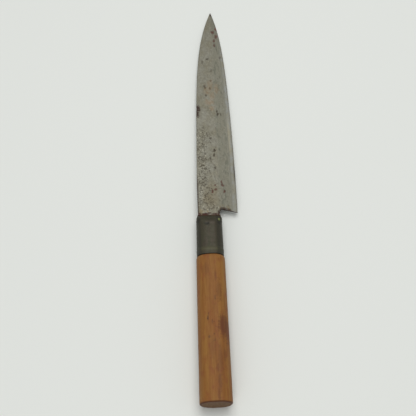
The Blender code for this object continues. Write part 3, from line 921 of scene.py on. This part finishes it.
class Finish:
    """A material whose colour, roughness and bump are built up from nodes."""

    def __init__(self, name, **uniform):
        self.material = bpy.data.materials.new(name)
        self.material.use_nodes = True
        self.tree = self.material.node_tree
        self.shader = self.tree.nodes["Principled BSDF"]
        place = self.tree.nodes.new("ShaderNodeAttribute")
        place.attribute_name = "place"
        self.place = place.outputs["Vector"]
        for socket, value in uniform.items():
            self.shader.inputs[socket.replace("_", " ")].default_value = value

    def feed(self, socket, value):
        if isinstance(value, bpy.types.NodeSocket):
            self.tree.links.new(value, socket)
        elif isinstance(value, tuple):
            socket.default_value = (*value, 1.0) if len(value) == 3 and socket.type == "RGBA" else value
        else:
            socket.default_value = value

    def set(self, **inputs):
        for socket, value in inputs.items():
            self.feed(self.shader.inputs[socket.replace("_", " ")], value)

    def layer(self, name):
        node = self.tree.nodes.new("ShaderNodeAttribute")
        node.attribute_name = name
        return node.outputs["Fac"]

    def stretched(self, size):
        sizes = size if isinstance(size, tuple) else (size,) * 3
        node = self.tree.nodes.new("ShaderNodeMapping")
        self.feed(node.inputs["Vector"], self.place)
        node.inputs["Scale"].default_value = [1 / item for item in sizes]
        return node.outputs["Vector"]

    def noise(self, size, detail=3.0, rough=0.55, distortion=0.0):
        """Noise from 0 to 1 whose bumps are about size millimetres across."""
        node = self.tree.nodes.new("ShaderNodeTexNoise")
        self.feed(node.inputs["Vector"], self.stretched(size))
        node.inputs["Scale"].default_value = 1.0
        node.inputs["Detail"].default_value = detail
        node.inputs["Roughness"].default_value = rough
        node.inputs["Distortion"].default_value = distortion
        return node.outputs[0]

    def step(self, value, low, high, start=0.0, end=1.0):
        """Turns value's range from low to high into start to end, with soft ends."""
        node = self.tree.nodes.new("ShaderNodeMapRange")
        node.interpolation_type = "SMOOTHSTEP"
        for socket, item in zip(node.inputs, (value, low, high, start, end)):
            self.feed(socket, item)
        return node.outputs["Result"]

    def maths(self, operation, first, second=0.0):
        node = self.tree.nodes.new("ShaderNodeMath")
        node.operation = operation
        self.feed(node.inputs[0], first)
        self.feed(node.inputs[1], second)
        return node.outputs[0]

    def times(self, first, second):
        return self.maths("MULTIPLY", first, second)

    def most(self, first, second):
        return self.maths("MAXIMUM", first, second)

    def blend(self, share, first, second, kind="MIX"):
        node = self.tree.nodes.new("ShaderNodeMix")
        node.data_type = "RGBA"
        node.blend_type = kind
        for socket, item in zip((node.inputs[0], node.inputs[6], node.inputs[7]), (share, first, second)):
            self.feed(socket, item)
        return node.outputs[2]

    def bump(self, height, depth, before=None):
        node = self.tree.nodes.new("ShaderNodeBump")
        node.inputs["Strength"].default_value = 1.0
        node.inputs["Distance"].default_value = depth * MM
        self.feed(node.inputs["Height"], height)
        if before is not None:
            self.feed(node.inputs["Normal"], before)
        return node.outputs["Normal"]


def iron_finish():
    """Old forged iron, grey with a brown-green patina, rust blooms and dark pits, with painted highlights
    scattered among the pits.
    """
    finish = Finish("old_iron", Specular_IOR_Level=0.4)
    patina = finish.noise(7.0, 4.0, 0.6)
    mottle = finish.noise(1.6, 4.0, 0.65)
    speck = finish.noise(0.55, 2.0, 0.5)
    scratches = finish.noise((14.0, 0.35, 0.35), 2.0, 0.5)
    grey = finish.blend(finish.step(patina, 0.35, 0.65), colour(128, 126, 113), colour(119, 115, 97))
    grey = finish.blend(finish.step(mottle, 0.35, 0.75, 0.0, 0.5), grey, colour(100, 95, 82))
    grey = finish.blend(finish.times(finish.layer("bevel"), 0.6), grey, colour(133, 131, 116))
    streak = finish.step(finish.noise((5.0, 1.8, 1.8), 3.0, 0.6), 0.50, 0.66, 0.0, 0.6)
    share = finish.step(finish.layer("bevel"), 0.0, 1.0, 0.35, 1.0)
    grey = finish.blend(finish.times(streak, share), grey, colour(98, 100, 86))
    ochre = finish.times(finish.layer("heel"), finish.step(finish.noise(1.5, 3.0, 0.6), 0.42, 0.62, 0.0, 0.7))
    grey = finish.blend(ochre, grey, colour(118, 98, 58))
    bent = finish.noise(1.5, 2.0, 0.5, 0.8)
    thread = finish.step(finish.maths("ABSOLUTE", finish.maths("SUBTRACT", bent, 0.5)), 0.0, 0.05, 1.0, 0.0)
    thread = finish.times(thread, finish.step(finish.noise(1.1, 1.0), 0.42, 0.62))
    worms = finish.times(thread, finish.layer("worms"))
    # Pale patches scattered over the pitted zone are painted highlights
    pale = finish.times(finish.step(finish.noise(0.9, 2.0), 0.52, 0.7), finish.layer("worms"))
    grey = finish.blend(finish.times(pale, 0.8), grey, colour(172, 168, 150))
    grey = finish.blend(finish.times(finish.layer("pale"), 0.5), grey, colour(166, 158, 134))
    tan = finish.times(finish.layer("tan"), finish.step(patina, 0.3, 0.6, 0.25, 0.75))
    grey = finish.blend(tan, grey, colour(111, 102, 79))
    grey = finish.blend(finish.step(scratches, 0.55, 0.75, 0.0, 0.25), grey, colour(146, 144, 132))
    pitted = finish.times(finish.step(speck, 0.60, 0.72, 0.0, 0.45), finish.step(patina, 0.3, 0.6, 0.2, 1.0))
    dark = finish.most(finish.layer("dark"), finish.most(pitted, finish.times(worms, 0.8)))
    grey = finish.blend(finish.step(dark, 0.1, 0.9), grey, colour(70, 62, 48))
    # The brown also carries painted shade on the neck's edge side
    brown = finish.times(finish.layer("brown"), finish.step(mottle, 0.25, 0.6, 0.6, 1.0))
    grey = finish.blend(brown, grey, colour(62, 46, 38))
    stain = finish.times(finish.layer("stain"), finish.step(mottle, 0.3, 0.7, 0.3, 0.8))
    grey = finish.blend(stain, grey, colour(150, 108, 56))
    rust = finish.times(finish.layer("rust"), finish.step(mottle, 0.2, 0.5, 0.75, 1.0))
    red = finish.blend(finish.step(speck, 0.35, 0.65), colour(92, 38, 28), colour(62, 38, 32))
    painted = finish.blend(rust, grey, red)
    covered = finish.most(finish.most(rust, brown), finish.times(dark, 0.7))
    rough = finish.maths("ADD", covered, finish.times(mottle, 0.4))
    finish.set(
        Base_Color=painted,
        Metallic=finish.step(covered, 0.0, 1.0, 0.35, 0.0),
        Roughness=finish.step(rough, 0.0, 1.2, 0.48, 0.85),
        Normal=finish.bump(speck, 0.04, finish.bump(mottle, 0.08, finish.bump(scratches, 0.015))),
    )
    return finish.material


def steel_finish():
    """The bare hard steel, brighter and cooler, with fine lines from the whetstone."""
    finish = Finish("edge_steel_ground", Specular_IOR_Level=0.5)
    patina = finish.noise(5.0, 4.0, 0.6)
    mottle = finish.noise(1.2, 4.0, 0.6)
    lines = finish.noise((9.0, 0.14, 0.14), 2.0, 0.5)
    base = finish.blend(finish.step(patina, 0.35, 0.65), colour(146, 147, 141), colour(140, 137, 120))
    base = finish.blend(finish.layer("strip"), colour(130, 128, 114), base)
    base = finish.blend(finish.step(mottle, 0.5, 0.75, 0.0, 0.5), base, colour(100, 96, 86))
    base = finish.blend(finish.times(finish.layer("weld"), 0.25), base, colour(104, 102, 94))
    base = finish.blend(finish.times(finish.layer("thin"), 0.6), base, colour(92, 86, 70))
    base = finish.blend(finish.times(finish.layer("pale"), 0.5), base, colour(166, 158, 134))
    dark = finish.times(finish.layer("dark"), finish.step(mottle, 0.2, 0.5, 0.7, 1.0))
    base = finish.blend(dark, base, colour(70, 64, 56))
    base = finish.blend(finish.layer("heel"), base, colour(66, 54, 46))
    rust = finish.times(finish.layer("rust"), finish.step(mottle, 0.2, 0.5, 0.75, 1.0))
    base = finish.blend(rust, base, colour(92, 42, 30))
    covered = finish.most(rust, finish.times(dark, 0.7))
    rough = finish.maths("ADD", covered, finish.times(mottle, 0.3))
    finish.set(
        Base_Color=base,
        Metallic=finish.step(covered, 0.0, 1.0, 0.4, 0.0),
        Roughness=finish.step(rough, 0.0, 1.2, 0.45, 0.8),
        Normal=finish.bump(lines, 0.010, finish.bump(mottle, 0.03)),
    )
    return finish.material


def ferrule_finish():
    """Brass gone dark olive, with brown and green in it, a small bright spot near its front, and painted
    shade on its sides and at its rear rim.
    """
    finish = Finish("dark_brass", Specular_IOR_Level=0.4)
    patina = finish.noise((9.0, 4.0, 4.0), 4.0, 0.6)
    mottle = finish.noise(1.4, 4.0, 0.6)
    handling = finish.noise((6.0, 0.5, 0.5), 3.0, 0.5)
    base = finish.blend(finish.step(patina, 0.35, 0.65), colour(64, 61, 45), colour(68, 61, 49))
    base = finish.blend(finish.step(mottle, 0.45, 0.75, 0.0, 0.5), base, colour(56, 60, 42))
    base = finish.blend(finish.step(handling, 0.5, 0.8, 0.0, 0.35), base, colour(78, 71, 54))
    bright = finish.times(finish.layer("edge"), finish.step(mottle, 0.3, 0.6, 0.2, 0.6))
    base = finish.blend(bright, base, colour(88, 86, 60))
    # Painted shade on the ferrule's two sides
    base = finish.blend(finish.times(finish.layer("side_shade"), 0.6), base, colour(50, 48, 38))
    base = finish.blend(finish.times(finish.layer("dark"), 0.85), base, colour(36, 36, 30))
    # Painted shade at the rear rim, in the joint with the wood; the mouth is darker too
    base = finish.blend(finish.times(finish.layer("rim"), 0.7), base, colour(38, 33, 25))
    base = finish.blend(finish.layer("bright_spot"), base, colour(150, 156, 96))
    finish.set(
        Base_Color=base,
        Metallic=finish.step(patina, 0.3, 0.7, 0.25, 0.4),
        Roughness=finish.step(mottle, 0.2, 0.8, 0.5, 0.68),
        Normal=finish.bump(mottle, 0.06, finish.bump(handling, 0.02)),
    )
    return finish.material


def packing_finish():
    """Swollen rusty packing, in beads from nearly black to red-brown."""
    finish = Finish("rusty_packing", Specular_IOR_Level=0.2)
    clump = finish.noise(1.1, 3.0, 0.6)
    grit = finish.noise(0.3, 3.0, 0.6)
    base = finish.blend(finish.step(clump, 0.35, 0.65), colour(52, 26, 22), colour(96, 62, 42))
    base = finish.blend(finish.step(grit, 0.5, 0.8, 0.0, 0.6), base, colour(40, 26, 24))
    finish.set(
        Base_Color=base,
        Roughness=finish.step(grit, 0.2, 0.8, 0.7, 0.95),
        Normal=finish.bump(grit, 0.12),
    )
    return finish.material


def wood_finish():
    """Plain close-grained wood, oiled red-brown by hands, with dark end grain and painted shade where it
    meets the ferrule.
    """
    finish = Finish("handled_wood", Specular_IOR_Level=0.18)
    bands = finish.noise((60.0, 2.6, 2.6), 3.0, 0.55, 0.4)
    fibres = finish.noise((12.0, 0.42, 0.42), 3.0, 0.6)
    pores = finish.noise((2.6, 0.16, 0.16), 1.0, 0.5)
    blotch = finish.noise((13.0, 5.0, 5.0), 3.0, 0.5)
    ring = finish.noise((60.0, 1.1, 3.0), 2.0, 0.5, 0.6)
    base = finish.blend(finish.step(bands, 0.35, 0.65), colour(146, 103, 51), colour(134, 88, 43))
    base = finish.blend(finish.step(blotch, 0.45, 0.75, 0.0, 0.55), base, colour(134, 80, 40))
    base = finish.blend(finish.step(fibres, 0.42, 0.75, 0.0, 0.5), base, colour(118, 76, 34))
    base = finish.blend(finish.step(ring, 0.62, 0.7, 0.0, 0.25), base, colour(110, 66, 29))
    base = finish.blend(finish.step(pores, 0.64, 0.74, 0.0, 0.45), base, colour(91, 54, 24))
    grime = finish.times(finish.layer("grime"), finish.step(fibres, 0.2, 0.6, 0.6, 1.0))
    base = finish.blend(grime, base, colour(92, 52, 38))
    flush = finish.step(finish.noise((7.0, 3.0, 3.0), 3.0, 0.6), 0.52, 0.72, 0.0, 0.5)
    base = finish.blend(flush, base, colour(124, 66, 42))
    ink = finish.times(finish.layer("flecks"), finish.step(fibres, 0.3, 0.6, 0.3, 1.0))
    base = finish.blend(ink, base, colour(58, 42, 38))
    end_grain = finish.noise((4.0, 0.7, 1.6), 4.0, 0.7)
    end = finish.blend(finish.step(end_grain, 0.35, 0.65), colour(108, 78, 44), colour(88, 60, 34))
    end = finish.blend(finish.times(finish.layer("rim"), 0.7), end, colour(78, 40, 24))
    base = finish.blend(finish.layer("butt"), base, end)
    # Painted shade on the wood's front shoulder, in the joint with the ferrule
    base = finish.blend(finish.times(finish.layer("front"), 0.35), base, colour(100, 64, 40))
    finish.set(
        Base_Color=base,
        Roughness=finish.step(fibres, 0.2, 0.8, 0.48, 0.66),
        Normal=finish.bump(fibres, 0.05, finish.bump(pores, 0.04)),
    )
    return finish.material


def floor_finish():
    finish = Finish("pale_paper", Specular_IOR_Level=0.2, Roughness=0.8)
    finish.set(Base_Color=colour(230, 232, 227))
    return finish.material


# ---------------------------------------------------------------- camera, light and floor

def add_camera():
    data = bpy.data.cameras.new("view")
    data.sensor_width = 36.0
    data.lens = data.sensor_width / 2 / math.tan(VIEW_ANGLE / 2)
    camera = bpy.data.objects.new("view", data)
    bpy.context.scene.collection.objects.link(camera)
    back = Vector((-math.sin(VIEW_LEAN), 0, math.cos(VIEW_LEAN)))
    level = Vector((math.cos(VIEW_LEAN), 0, math.sin(VIEW_LEAN)))
    aside = level.cross(back)
    up = level * math.cos(VIEW_ROLL) + aside * math.sin(VIEW_ROLL)
    right = up.cross(back)
    place = Matrix((right, up, back)).transposed().to_4x4()
    camera.matrix_world = Matrix.Translation(VIEW_TARGET + back * VIEW_DISTANCE) @ place
    bpy.context.scene.camera = camera


def add_light(name, place, size, power):
    data = bpy.data.lights.new(name, "AREA")
    data.shape = "DISK"
    data.size = size
    data.energy = power
    light = bpy.data.objects.new(name, data)
    bpy.context.scene.collection.objects.link(light)
    light.location = place
    light.rotation_euler = (-Vector(place)).to_track_quat("-Z", "Y").to_euler()


def add_surroundings():
    world = bpy.data.worlds.new("studio")
    world.use_nodes = True
    sky = world.node_tree.nodes["Background"]
    sky.inputs["Color"].default_value = (0.97, 0.99, 1.0, 1.0)
    sky.inputs["Strength"].default_value = 0.36
    bpy.context.scene.world = world
    add_light("key", (0.28, -0.08, 1.25), 0.95, 9.2)
    add_light("fill", (-0.9, 0.22, 0.75), 0.8, 2.5)

    half = 2.5
    mesh = bpy.data.meshes.new("floor")
    corners = [(-half, -half, 0), (half, -half, 0), (half, half, 0), (-half, half, 0)]
    mesh.from_pydata(corners, [], [(0, 1, 2, 3)])
    mesh.materials.append(floor_finish())
    floor = bpy.data.objects.new("floor", mesh)
    bpy.context.scene.collection.objects.link(floor)
    bpy.context.scene.view_settings.view_transform = "Standard"


def main():
    add_camera()
    iron_piece(iron_finish())
    steel_piece(steel_finish())
    ferrule_piece(ferrule_finish())
    seal_piece(packing_finish())
    handle_piece(wood_finish())
    add_surroundings()


main()
